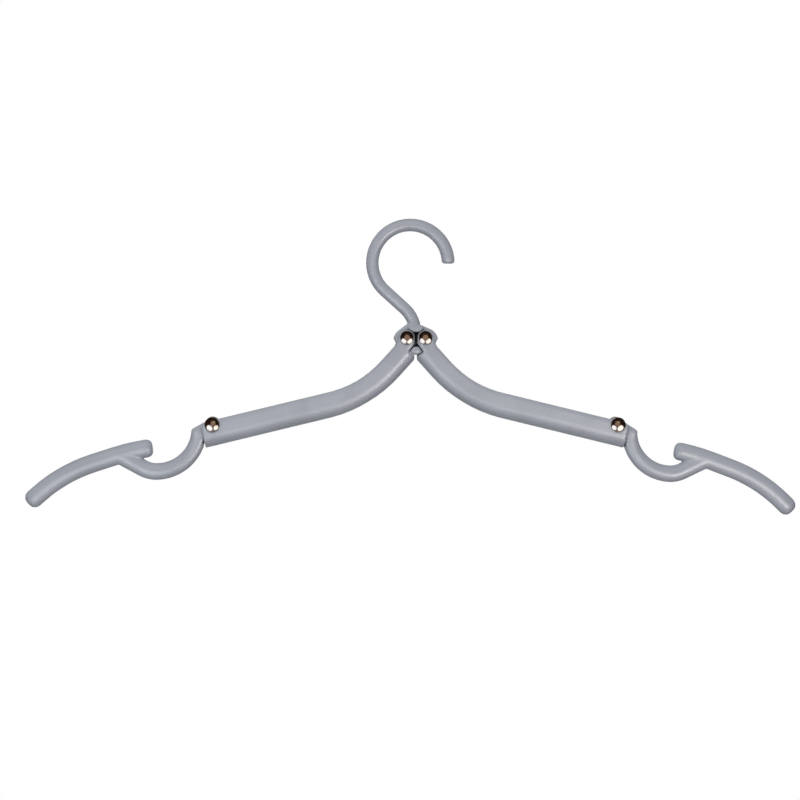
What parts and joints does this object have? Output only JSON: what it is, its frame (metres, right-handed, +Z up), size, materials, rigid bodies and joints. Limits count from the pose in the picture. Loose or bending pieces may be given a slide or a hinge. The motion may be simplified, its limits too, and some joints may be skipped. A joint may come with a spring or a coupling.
{
  "type": "folding clothes hanger",
  "caption": "Folding clothes hanger: a round-bar hook on a riveted hub, channel arms that fold up, and outer arms with strap notches that fold back onto them.",
  "frame": {"origin": "the spot inside the hook's crown that rests on a rail", "axes": "+X to the right along the hanger as seen from its front, +Z up, -Y out of its front"},
  "size_m": [0.4163, 0.0168, 0.1601],
  "materials": {
    "grey_plastic": "moulded, semi-gloss",
    "bright_nickel": "polished nickel plate"
  },
  "bodies": {
    "hook": {"hook": "grey_plastic"},
    "left_inner_arm": {"left_inner_arm": "grey_plastic", "left_hub_rivet_stud": "bright_nickel", "left_hub_rivet_socket": "bright_nickel", "left_elbow_rivet_stud": "bright_nickel", "left_elbow_rivet_socket": "bright_nickel"},
    "right_inner_arm": {"right_inner_arm": "grey_plastic", "right_hub_rivet_stud": "bright_nickel", "right_hub_rivet_socket": "bright_nickel", "right_elbow_rivet_stud": "bright_nickel", "right_elbow_rivet_socket": "bright_nickel"},
    "left_outer_arm": {"left_outer_arm": "grey_plastic"},
    "right_outer_arm": {"right_outer_arm": "grey_plastic"}
  },
  "joints": [
    {"name": "left_arm_fold", "type": "hinge", "parent": "hook", "child": "left_inner_arm", "pos_m": [-0.00199, 0, -0.05732], "axis": [0, 1, 0], "range_deg": [0, 86]},
    {"name": "right_arm_fold", "type": "hinge", "parent": "hook", "child": "right_inner_arm", "pos_m": [0.00795, 0, -0.05732], "axis": [0, -1, 0], "range_deg": [0, 95]},
    {"name": "left_outer_fold", "type": "hinge", "parent": "left_inner_arm", "child": "left_outer_arm", "pos_m": [-0.10632, 0, -0.10414], "axis": [0, 1, 0], "range_deg": [-2.8, 181]},
    {"name": "right_outer_fold", "type": "hinge", "parent": "right_inner_arm", "child": "right_outer_arm", "pos_m": [0.11228, 0, -0.10414], "axis": [0, -1, 0], "range_deg": [0, 184]}
  ]
}
